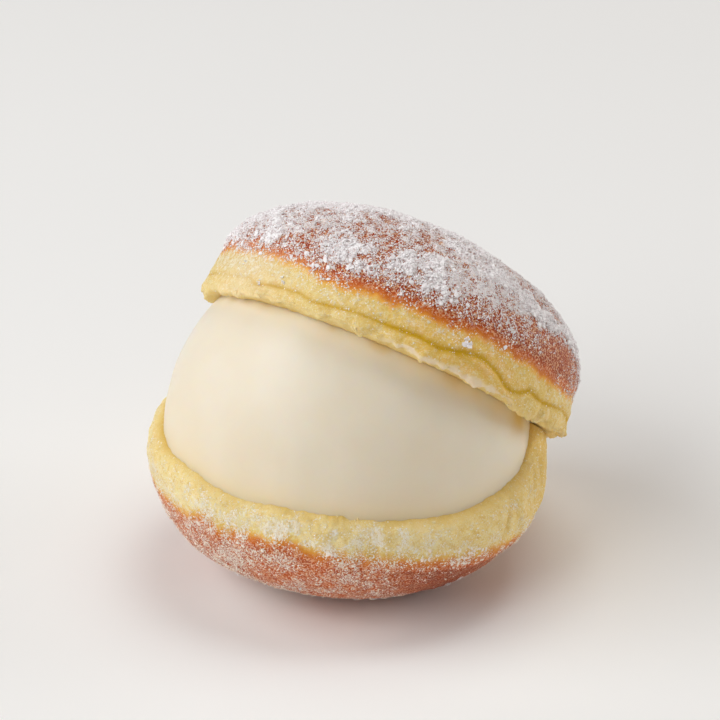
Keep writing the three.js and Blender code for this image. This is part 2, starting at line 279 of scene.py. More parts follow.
def bump(angle, centre, half_width):
    """A bell round one angle of the object; the angle is in radians, its centre in degrees."""
    return bell((np.degrees(angle) - centre + 180) % 360 - 180, half_width)


def with_bumps(value, angle, bumps):
    """The value with a bump at some angles, each given by its height, angle and half width."""
    for height, at, half_width in bumps:
        value = value + height * bump(angle, at, half_width)
    return value


def with_waves(value, angle, waves):
    """The value with waves round the object, each given by its height, number and phase."""
    for height, number, phase in waves:
        value = value + height * np.cos(number * angle + phase)
    return value


def along_path(degrees, path):
    return np.interp(degrees, [spot[0] for spot in path], [spot[1] for spot in path])


# Noise
def scatter(counter, salt):
    wave = math.sin(counter * 12.9898 + salt * 78.233) * 43758.5453
    return wave - math.floor(wave)


def lattice_value(at, salt):
    """A repeatable whole number from 0 to 65535 for each lattice point."""
    mixed = at[..., 0] * MIX_X + at[..., 1] * MIX_Y + at[..., 2] * MIX_Z + salt
    mixed = (mixed ^ (mixed >> 13)) * MIX_AGAIN
    return (mixed ^ (mixed >> 16)) & 0xFFFF


def value_noise(points, seed):
    """Smooth repeatable noise from -1 to 1, one lump for each unit of the given points."""
    cell = np.floor(points).astype(np.int64)
    part = points - cell
    ease = part ** 3 * (part * (part * 6 - 15) + 10)
    total = np.zeros(points.shape[:-1])
    for corner in range(8):
        step = np.array([(corner >> axis) & 1 for axis in range(3)])
        value = lattice_value(cell + step, seed * MIX_AGAIN) / 32767.5 - 1
        total += value * np.prod(np.where(step == 1, ease, 1 - ease), axis=-1)
    return total


def fractal(points, scale, seed, octaves=3):
    """Several layers of noise, the largest lumps as wide as scale in millimetres."""
    total, weight, share = 0.0, 1.0, 0.0
    for octave in range(octaves):
        points = points @ OBLIQUE
        finer = points * 2 ** octave / scale + LAYER_SHIFT * octave
        total = total + weight * value_noise(finer, seed + octave)
        share += weight
        weight *= 0.5
    return total / share


def layered(points, layers, octaves=3):
    """Relief from several noises, each given by its depth, width and seed."""
    return sum(depth * fractal(points, width, seed, octaves) for depth, width, seed in layers)


def crumbly(points, scale, seed):
    """Rounded crumbs about as wide as scale: 1 at the middle of each and near 0 between them."""
    scaled = points / scale
    cell = np.floor(scaled).astype(np.int64)
    nearest = np.full(points.shape[:-1], 9.0)
    for number in range(27):
        at = cell + np.array([number % 3, number // 3 % 3, number // 9]) - 1
        centre = at + 0.5
        for axis in range(3):
            centre[..., axis] += lattice_value(at, (seed + axis) * CRUMB_MIX) / 65535 * 0.8 - 0.4
        nearest = np.minimum(nearest, np.linalg.norm(scaled - centre, axis=-1))
    return np.clip(1 - nearest, 0, 1)


def drawn_up(points, squeeze):
    """Points squeezed in height, so that noise on them is drawn out upright."""
    return points * [1, 1, squeeze]


def evened(values):
    """The same field stretched so that every level from 0 to 1 is equally common."""
    order = np.argsort(values, axis=None, kind="stable")
    level = np.empty(values.size)
    level[order] = np.arange(values.size) / (values.size - 1)
    return level.reshape(values.shape)


def clotted(share, clots, contrast, onset=0.2):
    """A cover of sugar broken up into clots, which fades out where the share is small."""
    return np.clip(share + contrast * (clots - 0.5), 0, 1) * smoothstep(share, 0, onset)


# The planes of the two cuts and of the seam at the back where the halves meet
slope = math.tan(math.radians(CUT_SLOPE))
lower_axis = np.array([slope, 0, 1]) / math.hypot(slope, 1)
lean, lean_towards = math.radians(UPPER_LEAN), math.radians(UPPER_LEAN_TOWARDS)
upper_axis = np.array([
    math.sin(lean) * math.cos(lean_towards),
    math.sin(lean) * math.sin(lean_towards),
    math.cos(lean),
])
upper_turn = np.array(UPRIGHT.rotation_difference(Vector(upper_axis)).to_matrix())
lower_share = 1 - SEAM_TOWARDS_UPPER
seam_sum = lower_share * lower_axis + SEAM_TOWARDS_UPPER * upper_axis
seam_level = lower_share * lower_axis @ LOWER_CENTRE + SEAM_TOWARDS_UPPER * upper_axis @ UPPER_CENTRE
seam_normal = seam_sum / np.linalg.norm(seam_sum)
seam_offset = seam_level / np.linalg.norm(seam_sum)


def kept_above_seam(points):
    """Flattens what of the upper half would cross the seam."""
    beyond = seam_offset - points @ seam_normal + SEAM_GAP / 2
    return points + np.maximum(beyond, 0)[..., None] * seam_normal


def kept_under_upper(points):
    """Flattens what of the lower half would cross the seam and, in front of it, the upper cut face."""
    past_seam = points @ seam_normal - seam_offset + SEAM_GAP / 2
    past_cut = (points - UPPER_CENTRE) @ upper_axis + SEAM_GAP
    past = np.maximum(np.minimum(past_seam, past_cut), 0)
    back = np.where((past_seam < past_cut)[..., None], seam_normal, upper_axis)
    return points - past[..., None] * back


def from_cream(points):
    return np.linalg.norm(points - CREAM_CENTRE, axis=-1) - CREAM_RADIUS


def swelling(angle, phase):
    two = 0.009 * np.cos(2 * angle + phase)
    three = 0.007 * np.cos(3 * angle + 2.1 * phase + 0.6)
    seven = 0.004 * np.cos(7 * angle - 1.3 * phase)
    return 1 + two + three + seven


def angles_round(count):
    return np.linspace(0, FULL_TURN, count, endpoint=False)[None, :]


def ring_points(radius, angle, height):
    return np.stack([radius * np.cos(angle), radius * np.sin(angle), height], axis=-1)


def ring_normals(points):
    """Outward directions of a grid of rings, good enough to push fine relief along."""
    along = np.gradient(points, axis=0)
    round_about = (np.roll(points, -1, axis=1) - np.roll(points, 1, axis=1)) / 2
    normal = np.cross(round_about, along)
    return normal / np.maximum(np.linalg.norm(normal, axis=-1, keepdims=True), 1e-9)


# Forms of the halves, as in the solids
def lower_profile():
    climb = math.pi / 2 * (1 - (1 - np.linspace(0, 1, LOWER_BOWL_ROWS)) ** LOWER_BOWL_SPACING)
    bowl = np.stack([LOWER_RADIUS * np.sin(climb), -WIDEST_BELOW_CUT - LOWER_DEPTH * np.cos(climb)], 1)
    rim_middle = LOWER_RADIUS - LOWER_RIM_ROUNDING
    turn = np.linspace(0, math.pi / 2, LOWER_RIM_ROWS + 1)[1:]
    rim = np.stack([rim_middle + LOWER_RIM_ROUNDING * np.cos(turn), WIDEST_BELOW_CUT * (np.sin(turn) - 1)], 1)
    face = np.linspace(rim_middle, HIDDEN_RADIUS, LOWER_FACE_ROWS + 1)[1:]
    face = np.concatenate([face, np.linspace(HIDDEN_RADIUS, 0, HIDDEN_ROWS + 1)[1:]])
    return np.concatenate([bowl, rim, np.stack([face, np.zeros_like(face)], 1)])


def rim_rise(angle):
    """How far the rim climbs up the cream, and up to the upper half beside the seam."""
    return with_bumps(0.0, angle, RIM_RISES)


def lower_surface(radius, height, angle):
    """The sculpted form of the lower half, in world millimetres."""
    outer = smoothstep(radius, 0, LOWER_RADIUS * 0.8)
    near_rim = smoothstep(radius, LOWER_RADIUS - RIM_RISE_INNER, LOWER_RADIUS - LOWER_RIM_ROUNDING)
    near_cut = smoothstep(height, -RIM_RISE_FADE, 0)
    near = bell(height + RIM_DENTS_BELOW_CUT, RIM_DENTS_BELOW_CUT)
    dents = near * with_waves(0.0, angle, RIM_DENTS)
    grown = radius * swelling(angle, 0.8) + dents * outer
    depth = -height / (LOWER_DEPTH + WIDEST_BELOW_CUT)
    share = 1 - smoothstep(-height, WIDEST_BELOW_CUT, WIDEST_BELOW_CUT + CUT_SLOPE_FADE)
    points = ring_points(grown, angle, height + 0 * angle)
    points[..., 2] -= slope * points[..., 0] * share
    points[..., 2] += rim_rise(angle) * near_rim * near_cut
    points[..., 0] += POLE_LEAN * depth ** 3
    return points + LOWER_CENTRE


def upper_profile():
    lip_middle = UPPER_RADIUS - UPPER_LIP_ROUNDING
    face = np.linspace(HIDDEN_RADIUS, lip_middle, UPPER_FACE_ROWS + 1)[1:]
    face = np.concatenate([np.linspace(0, HIDDEN_RADIUS, HIDDEN_ROWS), face])
    face = np.stack([face, np.zeros_like(face)], 1)
    turn = np.linspace(math.pi / 2, math.radians(UPPER_LIP_ENDS_AT), UPPER_LIP_ROWS + 1)[1:]
    lip_radius = lip_middle + UPPER_LIP_ROUNDING * np.cos(turn)
    lip = np.stack([lip_radius, UPPER_LIP_ROUNDING * (1 - np.sin(turn))], 1)
    rise = np.linspace(lip[-1, 1] + UPPER_BAND_ABOVE_LIP, BAND_HEIGHT, UPPER_BAND_ROWS + 1)[:-1]
    band = np.stack([UPPER_RADIUS + (SHOULDER_RADIUS - UPPER_RADIUS) * rise / BAND_HEIGHT, rise], 1)
    climb = math.pi / 2 * np.linspace(0, 1, UPPER_DOME_ROWS) ** UPPER_DOME_SPACING
    dome = np.stack([SHOULDER_RADIUS * np.cos(climb), BAND_HEIGHT + DOME_HEIGHT * np.sin(climb)], 1)
    return np.concatenate([face, lip, band, dome])


def fold_wander(angle):
    return with_waves(with_bumps(0.0, angle, FOLD_BUMPS), angle, FOLD_WAVES)


def fold_depth(height, angle):
    depth = FOLD_DEPTH * (0.7 + 0.3 * np.cos(5 * angle + 1.1))
    return depth * bell(height - FOLD_HEIGHT, FOLD_HALF_WIDTH)


def upper_surface(radius, height, angle, fold_share=1.0):
    """The sculpted form of the upper half, in its own frame with the cut at z = 0."""
    outer = smoothstep(radius, UPPER_RADIUS * 0.55, UPPER_RADIUS * 0.95)
    tear = with_waves(0.0, angle, LIP_WAVES) * bell(height, FOLD_HEIGHT) * outer
    grown = radius * swelling(angle, 2.3) - fold_share * fold_depth(height, angle) * outer + tear
    middle = np.sin(math.pi * np.clip(height / (2 * FOLD_HEIGHT), 0, 1))
    return ring_points(grown, angle, height + fold_wander(angle) * middle * outer)


def upper_to_world(points):
    return points @ upper_turn.T + UPPER_CENTRE


# Mesh making
def closed_rings(name, points, attributes):
    """A closed piece from rings of points whose first and last rings shrink to a pole."""
    rings, around = points.shape[:2]
    inner = points[1:-1].reshape(-1, 3)
    count = len(inner)
    verts = np.concatenate([inner, points[0].mean(0)[None], points[-1].mean(0)[None]]) * MM
    index = np.arange(count).reshape(rings - 2, around)
    following = np.roll(index, -1, axis=1)
    quads = np.stack([index[:-1], following[:-1], following[1:], index[1:]], -1).reshape(-1, 4)
    first = np.stack([np.full(around, count), following[0], index[0]], -1)
    last = np.stack([np.full(around, count + 1), index[-1], following[-1]], -1)
    mesh = bpy.data.meshes.new(name)
    mesh.from_pydata(verts.tolist(), [], quads.tolist() + first.tolist() + last.tolist())
    mesh.polygons.foreach_set("use_smooth", np.ones(len(mesh.polygons), bool))
    for label, values in attributes.items():
        values = np.broadcast_to(values, (rings, around))
        flat = np.concatenate([values[1:-1].ravel(), [values[0].mean(), values[-1].mean()]])
        mesh.attributes.new(label, "FLOAT", "POINT").data.foreach_set("value", flat.astype(np.float32))
    mesh.update()
    return add_object(name, mesh)


def add_object(name, data):
    piece = bpy.data.objects.new(name, data)
    bpy.context.scene.collection.objects.link(piece)
    return piece


# Lower half
def lower_browning(points, angles, height):
    """Browning, and how far each point is below the streaky line where it starts, lower on the right."""
    tilt = LOWER_BROWN_TILT * np.cos(angles - math.radians(LOWER_BROWN_HIGHEST_AT))
    line = with_bumps(LOWER_BROWN_LINE + tilt, angles, LOWER_BROWN_WAVER)
    line = line + 1.1 * fractal(points, 9, 3) + 0.9 * fractal(drawn_up(points, 0.35), 1.6, 5)
    below = line - points[..., 2]
    most = 0.8 + 0.2 * bump(angles, *BOWL_DARK)
    browning = np.clip((below + 2.0) / 6.2, 0, most) * np.where(height < -1.5, 1, 0)
    return np.maximum(browning, 0.15 * bump(angles, *RIM_BAKED)), below


def lower_dust(angles, below, patches, clots, off_foot):
    """Uneven fine sugar on the bowl, heaps of it along the browning line, and how bare the bowl is left."""
    bare = 0.8 * bump(angles, *BOWL_BARE) * smoothstep(below, 0.5, 4)
    uneven = 0.13 + 0.2 * smoothstep(patches, 0.35, 0.65) + 0.22 * bump(angles, *BOWL_SUGARED)
    share = smoothstep(below, -2.0, 2.5) * uneven * (1 - bare)
    sugar = clotted(share, clots, 0.4) * off_foot
    heaps = (bell(below - 0.3, 1.9) * smoothstep(patches, 0.5, 0.7) + 0.1 * sugar) * off_foot
    return sugar, heaps, bare


def lower_powder(angles, below, patches, clots, clouds, on_rim):
    """Powder on the pale rim: a veil at the left and clouds at the front."""
    left_share = 0.2 + 0.8 * bump(angles, *RIM_POWDERED_LEFT)
    veil = smoothstep(below, -7, -0.5) * (0.3 + 0.7 * smoothstep(patches, 0.3, 0.7)) * left_share
    return clotted(0.55 * veil + (0.06 + 0.62 * clouds) * on_rim, clots, 0.6)


def lower_specks(angles, below, patches, spots, veil):
    """Loose grains on the pale rim, most of them near the browning line and in the powder."""
    speck = 0.5 * fade_out(-below, 2.5) * smoothstep(patches, 0.35, 0.7) * (1 - 0.7 * bump(angles, *RIM_BARE))
    return speck + 0.9 * veil * smoothstep(spots, 0.3, 0.6) + 0.05 * spots


def rim_pleats(angles, height):
    """Pleats across the rim at the right, each leaning a little."""
    pleats = 0.0
    for number in range(PLEATS):
        at = FIRST_PLEAT_AT + PLEAT_STEP * number + 5 * (scatter(number, 41) - 0.5)
        leaning = at + 2.2 * (scatter(number, 43) - 0.5) * (height + RIM_DENTS_BELOW_CUT)
        depth = 0.12 + 0.2 * scatter(number, 45)
        pleats = pleats - depth * bump(angles, leaning, PLEAT_HALF_WIDTH)
    return pleats * bell(height + PLEAT_BELOW_CUT, PLEAT_REACH)


def rim_flaps(angles, radius, height, spots):
    """A little flap towards the right, and torn bits along the inner edge."""
    flap = 0.55 * bump(angles, *RIM_FLAP) * bell(height + RIM_FLAP_BELOW_CUT, 0.6)
    return flap + 0.4 * bell(radius - RIM_FLAP_RADIUS, 0.7) * smoothstep(height, -1.5, -0.3) * spots


def make_lower_half():
    angles = angles_round(LOWER_AROUND)
    radius, height = np.split(lower_profile(), 2, axis=1)
    points = lower_surface(radius, height, angles)
    normal = ring_normals(points)
    on_rim = smoothstep(height, *RIM_LEVELS) * smoothstep(radius, *RIM_RADII)
    cut_edge = 1 - smoothstep(radius, *LOWER_CUT_EDGE)
    on_face = np.where(height > -WIDEST_BELOW_CUT + 0.1, cut_edge, 0) + 0 * angles
    skin_side = 1 - on_face
    off_foot = smoothstep(points[..., 2], *FOOT_EDGE)
    browning, below = lower_browning(points, angles, height)
    # sugar
    patches = 0.5 + 0.5 * fractal(points, 5.5, 11)
    spots = 0.5 + 0.5 * fractal(points, 1.5, 13)
    clots = evened(fractal(points, 1.7, 14))
    cloudy = evened(fractal(points, 2.9, 18))
    front_share = 0.15 + 0.85 * bump(angles, *RIM_POWDERED_FRONT)
    clouds = front_share * smoothstep(cloudy, 0.6, 0.9)
    clear = front_share * smoothstep(cloudy, 0.6, 0.15)
    sugar, heaps, bare = lower_dust(angles, below, patches, clots, off_foot)
    veil = lower_powder(angles, below, patches, clots, clouds, on_rim) * (1 - 0.6 * browning) * skin_side
    speck = lower_specks(angles, below, patches, spots, veil) * (1 - browning) * skin_side * off_foot
    # soft skin, upright fibre marks, pleats and flaps, open crumb on the cut
    skin = layered(points, LOWER_SKIN)
    fibre = 0.18 * fractal(drawn_up(points, 0.2), 1.7, 29) * (1 - browning) * skin_side
    pleats = rim_pleats(angles, height)
    folded = pleats + rim_flaps(angles, radius, height, spots)
    crumb = 0.35 * (crumbly(points, 1.7, 31) - 0.6) * on_face * smoothstep(radius, *CRUMB_RADII)
    fade = smoothstep(radius, *POLE_RADII)
    shift = (skin * (1 - 0.6 * on_face) + fibre) * fade + folded * skin_side + crumb + 0.12 * sugar
    points = points + normal * shift[..., None]
    # the rim swells up against the cream, and the foot stands flat on the floor
    points[..., 2] += 0.5 * fade_out(from_cream(points), 0.7) * on_rim
    points[..., 2] = np.maximum(points[..., 2], 0)
    gap = from_cream(points)
    at_top = np.where(height > -3, 1, 0)
    # painted shade: deep yellow in the pleat grooves and on the rim beside the cream, strongest at the left,
    # with golden patches at the back right and where the powder clouds are clear
    inside = fade_out(gap, 1.7) * at_top * (0.1 + 0.9 * bump(angles, *RIM_GOLDEN_INSIDE))
    golden = -pleats + 0.7 * inside + 0.25 * bump(angles, *RIM_GOLDEN) + 0.3 * clear * on_rim
    torn = bell(radius - RIM_TORN_RADIUS, 0.7) * np.where(height > -1.2, 1, 0) * smoothstep(spots, 0.45, 0.65)
    return closed_rings("lower_half", kept_under_upper(points), {
        "browning": browning, "sugar": sugar, "heaps": np.clip(heaps, 0, 1), "veil": veil, "crumb": on_face,
        "painted_fold_shade_and_gold": np.clip(golden, 0, 1), "contact": fade_out(gap, 0.8) * at_top, "bare": bare,
        "speck": np.clip(speck, 0, 1), "torn": torn,
    })


# Upper half
def upper_browning(points, angles, outside):
    """Browning, and how far each point is above the streaky line near the shoulder where it starts."""
    line = with_bumps(UPPER_BROWN_LINE, angles, UPPER_BROWN_WAVER)
    line = line + 0.4 * fractal(points, 7, 41) + 0.8 * fractal(drawn_up(points, 0.35), 1.5, 43)
    above = points[..., 2] - line
    browning = np.clip((above + 1.7) / 5.0, 0, 1) * outside
    degrees = np.degrees(angles)
    golden = 0.2 * smoothstep(degrees, *BAND_GOLDEN_STARTS)
    golden = golden * (1 - 0.6 * smoothstep(degrees, *BAND_GOLDEN_ENDS))
    return np.maximum(browning, golden), above


def upper_sugar(points, angles, above, patches, clots, outside):
    """Sugar clotted thickly on the crown, sparse on the strip beside the pale band, fine on the right."""
    crown = smoothstep(above, 1.4, 7.0)
    right_side = bump(angles, *CROWN_THIN) * (1 - smoothstep(above, 7, 12))
    share = crown * (0.42 + 0.36 * smoothstep(patches, 0.1, 0.9)) * (1 - 0.93 * right_side)
    strip = (1 - crown) * smoothstep(above, -1.2, 1.0) * (1 - 0.6 * bump(angles, *STRIP_BARE))
    share = share + strip * (0.04 + 0.12 * smoothstep(patches, 0.3, 0.8))
    share = share + 0.38 * bump(angles, *CROWN_THICK) * smoothstep(above, 6, 10)
    share = share + 0.22 * bump(angles, *CROWN_SUGARED) * smoothstep(above, -0.5, 2.0)
    sugar = clotted(share, clots, 0.2 + 0.46 * smoothstep(share, 0.1, 0.5)) * outside
    heaps = smoothstep(sugar, 0.3, 0.9) * crown * smoothstep(patches, 0.1, 0.7) * (1 - 0.7 * right_side)
    heaps = heaps + 0.35 * sugar * (1 - crown) * (1 - right_side)
    for at, rise, size in BAND_CLUMPS:
        away = points - ring_points(UPPER_RADIUS, np.radians([[at]]), np.array([[rise]]))
        heaps = heaps + np.exp(-(away ** 2).sum(-1) / size ** 2)
    return sugar, heaps


def fold_marks(level, angles, along, outside):
    """The fold above the torn lip: how far off it is, its crease, hollow, rolls on both sides and branch."""
    degrees = np.degrees(angles)
    from_fold = level - (along_path(degrees, FOLD_PATH) + 0.18 * fractal(along, 2.2, 70))
    strength = 0.62 + 0.45 * smoothstep(fractal(along, 6, 51), -0.4, 0.4)
    strength = strength * (0.45 + 0.55 * smoothstep(degrees, *FOLD_STRONG_STARTS))
    strength = strength + 0.3 * bump(angles, *FOLD_DEEP)
    width = 0.3 + 0.12 * bump(angles, *FOLD_WIDE)
    crease = np.clip(strength, 0, 1.2) * np.exp(-np.abs(from_fold / width) ** 1.4) * outside
    hollow = strength * bell(from_fold, 0.9) * outside
    roll = 0.16 * bell(from_fold - 1.4, 1.0)
    roll = roll + (0.08 + 0.25 * bump(angles, *FOLD_ROLLED)) * bell(from_fold + 1.3, 0.9)
    from_branch = level - FOLD_BRANCH_HEIGHT - FOLD_BRANCH_SLOPE * (FOLD_BRANCH_FROM - degrees)
    branch = bell(from_branch, 0.45) * bump(angles, *FOLD_BRANCH) * outside
    return from_fold, crease, hollow, roll, branch


def lip_puffs(points, low, from_fold):
    """A few soft puffs below the fold, ragged at the bottom."""
    below_fold = 1 - smoothstep(from_fold, -1.0, 0.0)
    puffs = 0.5 * below_fold * (crumbly(drawn_up(points, 0.7), 4.2, 57) - 0.55)
    return puffs + 0.45 * low * fractal(points, 3.2, 59) + 0.34 * low * (crumbly(points, 1.5, 61) - 0.6)


def lip_flakes(points, angles, height, low):
    """Thin flakes at the left end of the lip."""
    wave = FULL_TURN * height / 0.9 + 3 * fractal(points, 5, 62)
    return 0.2 * np.sin(wave) * low * bump(angles, *LIP_FLAKES)


def lip_hang(points, angles, radius, height, flaps):
    """How far the torn edge of the lip stands up or hangs down."""
    ragged = np.maximum(fractal(points, 2.4, 71), -0.2) + 0.7 * np.maximum(fractal(points, 0.9, 72), 0)
    raggedness = with_bumps(LIP_RAGGEDNESS, angles, LIP_RAGGED_PLACES)
    edge_share = bell(height, 1.2) * smoothstep(radius, *LIP_RADII)
    return (along_path(np.degrees(angles), LIP_PATH) + 0.15 - 0.7 * flaps - raggedness * ragged) * edge_share


def make_upper_half():
    angles = angles_round(UPPER_AROUND)
    radius, height = np.split(upper_profile(), 2, axis=1)
    points = upper_surface(radius, height, angles, 0.0)
    along = ring_points(UPPER_RADIUS, angles, 0 * angles)
    normal = ring_normals(points)
    degrees = np.degrees(angles)
    outside = np.where(height > 0.02, 1.0, 0.0)
    low = bell(height, 2.4) * outside
    cut_edge = 1 - smoothstep(height, *UPPER_CUT_EDGE)
    on_face = np.where(outside > 0, cut_edge, smoothstep(radius, *UPPER_CUT_RADII)) + 0 * angles
    browning, above = upper_browning(points, angles, outside)
    # sugar
    patches = evened(fractal(points, 7.5, 47))
    clots = evened(fractal(points, 1.8, 48))
    spots = 0.5 + 0.5 * fractal(points, 1.2, 49)
    sugar, heaps = upper_sugar(points, angles, above, patches, clots, outside)
    veil = (0.6 * bump(angles, *BAND_POWDERED) + 0.12) * smoothstep(above, -7.0, 0.0)
    veil = clotted(veil * (1 - browning) * outside, clots, 0.3, 0.1)
    speck = 0.6 * fade_out(-above, 1.8) * smoothstep(patches, 0.3, 0.8)
    speck = (speck + 0.06 * smoothstep(spots, 0.4, 0.6)) * (1 - browning) * outside
    # the fold, the torn lip, soft skin with upright fibre marks, open crumb on the cut and the sugar coat
    from_fold, crease, hollow, roll, branch = fold_marks(points[..., 2], angles, along, outside)
    torn = lip_puffs(points, low, from_fold)
    flakes = lip_flakes(points, angles, height, low)
    flaps = smoothstep(fractal(along, 2.8, 76), -0.15, 0.35) * (0.2 + 0.8 * bump(angles, *LIP_FLAPS))
    skin = layered(points, UPPER_SKIN)
    fibre = 0.13 * fractal(drawn_up(points, 0.22), 1.6, 67) * (1 - browning)
    crumb = 0.45 * (crumbly(points, 1.7, 69) - 0.6) * smoothstep(radius, *CRUMB_RADII) * (1 - outside)
    fade = smoothstep(radius, *POLE_RADII)
    coat = sugar * (0.1 + 0.6 * crumbly(points, 1.7, 74) * smoothstep(radius, 1, 4))
    shift = (skin + fibre) * fade + roll - 0.18 * crease - 0.08 * hollow - 0.1 * branch
    shift = shift + torn + flakes + 0.2 * flaps * low + coat
    points = points + normal * (shift * outside + crumb)[..., None]
    points[..., 2] += lip_hang(points, angles, radius, height, flaps)
    points = kept_above_seam(upper_to_world(points))
    # cream left on the lip, and crumbs where it is torn
    creamy = smoothstep(degrees, *LIP_CREAMY_STARTS) * (1 - smoothstep(degrees, *LIP_CREAMY_ENDS))
    smear = (1 - smoothstep(height + 0.45 * fractal(points, 2.5, 75), 0.4, 0.9)) * (0.1 + 0.9 * creamy)
    smear = np.maximum(smear, 0.38 * bump(angles, *BAND_CREAMED) * (1 - browning)) * outside
    edge = bell(height - 0.5, 0.7) * outside * smoothstep(spots, 0.45, 0.65) * (1 - 0.8 * creamy)
    return closed_rings("upper_half", points, {
        "browning": browning, "sugar": sugar, "heaps": np.clip(heaps, 0, 1) * outside,
        "veil": veil, "crumb": on_face,
        # painted crease shade: a deep yellow line along the crease, its hollow and its branch
        "painted_fold_shade_and_gold": np.clip(crease + 0.5 * hollow + 0.5 * branch, 0, 1),
        "contact": fade_out(from_cream(points), 0.8) * np.where(height < 2, 1, 0), "smear": smear,
        "speck": np.clip(speck, 0, 1), "torn": edge,
    })


# Cream
def cream_gold_and_painted_bounce(points, climbed, under):
    """How golden the cream is: near the rim, painted bounce light from the yellow dough that fades up from
    the rim, more so on the left, and in blotches under the lip.
    """
    across = points[..., 0]
    blotchy = 0.35 + 0.75 * smoothstep(fractal(points, 6, 85), -0.3, 0.4)
    blotchy = blotchy * (0.25 + 0.75 * smoothstep(across, 4, 16))
    # painted bounce light: the lower cream tinted golden as if lit by light off the yellow dough
    painted_bounce = 0.42 * fade_out(climbed, 12) * (1 - 0.7 * smoothstep(across, 12, 30))
    return np.clip(0.6 * fade_out(climbed, 2.2) + painted_bounce + blotchy * fade_out(under, 2.4), 0, 1)


def cream_stains(points):
    """Golden stains with wavering edges."""
    wavering = points + 0.8 * np.stack([fractal(points, 2.5, 87 + axis) for axis in range(3)], -1)
    stain = 0.0
    for place, size, strength in STAINS:
        stain = stain + strength * np.exp(-(((wavering - place) / size) ** 2).sum(-1))
    return np.clip(stain, 0, 1)


def make_cream():
    """The ball of cream, pressed flat against both cut faces."""
    level = np.cos(np.linspace(math.pi, 0, CREAM_ROWS))[:, None]
    across = np.sqrt(np.maximum(1 - level * level, 0))
    turn = angles_round(CREAM_AROUND)
    ripple = np.cos(2 * turn + 3 * level) + 0.6 * np.cos(5 * turn - 4 * level + 1)
    size = CREAM_RADIUS + CREAM_UNEVENNESS * ripple * across
    points = ring_points(across * size, turn, level * size) + CREAM_CENTRE
    soft = layered(points, CREAM_SKIN, 2) * smoothstep(across, 0.05, 0.3)
    points = points + ring_normals(points) * soft[..., None]
    over = (points - LOWER_CENTRE) @ lower_axis + CREAM_PRESSED_IN
    under = (UPPER_CENTRE - points) @ upper_axis + CREAM_PRESSED_IN
    climbed = over - rim_rise(np.arctan2(points[..., 1], points[..., 0]))
    # the contact tint holds painted bounce light from the dough besides the golden band and the blotches
    fields = {"contact": cream_gold_and_painted_bounce(points, climbed, under), "stain": cream_stains(points)}
    # it swells over the rim at the front
    spread = 0.7 * fade_out(climbed - 0.3, 0.9) * smoothstep(across, 0.3, 0.6)
    spread = spread * smoothstep(-points[..., 1], 8, 20)
    points = points + ring_normals(points) * spread[..., None]
    points = points - np.minimum(over, 0)[..., None] * lower_axis
    under = (UPPER_CENTRE - points) @ upper_axis + CREAM_PRESSED_IN
    points = points + np.minimum(under, 0)[..., None] * upper_axis
    return closed_rings("cream_ball", points, fields)


# Materials
def srgb(red, green, blue):
    """A colour read as 0 to 255 screen values, as linear light."""
    def linear(value):
        share = value / 255
        return share / 12.92 if share <= 0.04045 else ((share + 0.055) / 1.055) ** 2.4
    return (linear(red), linear(green), linear(blue), 1.0)


class Nodes:
    """Adds nodes to a tree; an input is a value or another node's output."""

    def __init__(self, tree):
        self.nodes = tree.nodes
        self.links = tree.links

    def node(self, kind, inputs=None, **settings):
        made = self.nodes.new(kind)
        for key, value in settings.items():
            setattr(made, key, value)
        for key, value in (inputs or {}).items():
            self.put(made.inputs[key], value)
        return made

    def put(self, socket, value):
        if isinstance(value, bpy.types.NodeSocket):
            self.links.new(value, socket)
        else:
            socket.default_value = value

    def math(self, operation, first, second, clamp=False):
        made = self.node("ShaderNodeMath", {0: first, 1: second}, operation=operation, use_clamp=clamp)
        return made.outputs[0]

    def times(self, first, second, clamp=False):
        return self.math("MULTIPLY", first, second, clamp)


class Shader(Nodes):
    """Builds one material on the piece's own coordinates."""

    def __init__(self, name):
        self.material = bpy.data.materials.new(name)
        self.material.use_nodes = True
        super().__init__(self.material.node_tree)
        self.principled = self.nodes["Principled BSDF"]
        self.place = self.node("ShaderNodeTexCoord").outputs["Object"]

    def attribute(self, name):
        return self.node("ShaderNodeAttribute", attribute_name=name).outputs["Fac"]

    def noise(self, lump_mm, detail=3.0, roughness=0.55):
        made = self.node("ShaderNodeTexNoise", {
            "Vector": self.place, "Scale": 1 / MM / lump_mm, "Detail": detail, "Roughness": roughness,
        })
        return made.outputs["Fac"]

    def span(self, value, low, high, to_low=0.0, to_high=1.0):
        made = self.node("ShaderNodeMapRange", {
            "Value": value, "From Min": low, "From Max": high, "To Min": to_low, "To Max": to_high,
        }, interpolation_type="SMOOTHSTEP")
        return made.outputs["Result"]

    def mix(self, share, first, second):
        made = self.node("ShaderNodeMix", data_type="RGBA")
        self.put(made.inputs[0], share)
        self.put(made.inputs[6], first)
        self.put(made.inputs[7], second)
        return made.outputs[2]

    def ramp(self, value, stops):
        made = self.node("ShaderNodeValToRGB", {"Fac": value})
        elements = made.color_ramp.elements
        while len(elements) < len(stops):
            elements.new(0.5)
        for element, (position, colour) in zip(elements, stops):
            element.position = position
            element.color = colour
        return made.outputs["Color"]

    def bump(self, height, distance_mm, strength):
        made = self.node("ShaderNodeBump", {
            "Height": height, "Distance": distance_mm * MM, "Strength": strength,
        })
        return made.outputs["Normal"]

    def finish(self, **inputs):
        for key, value in inputs.items():
            self.put(self.principled.inputs[key.replace("_", " ")], value)
        return self.material


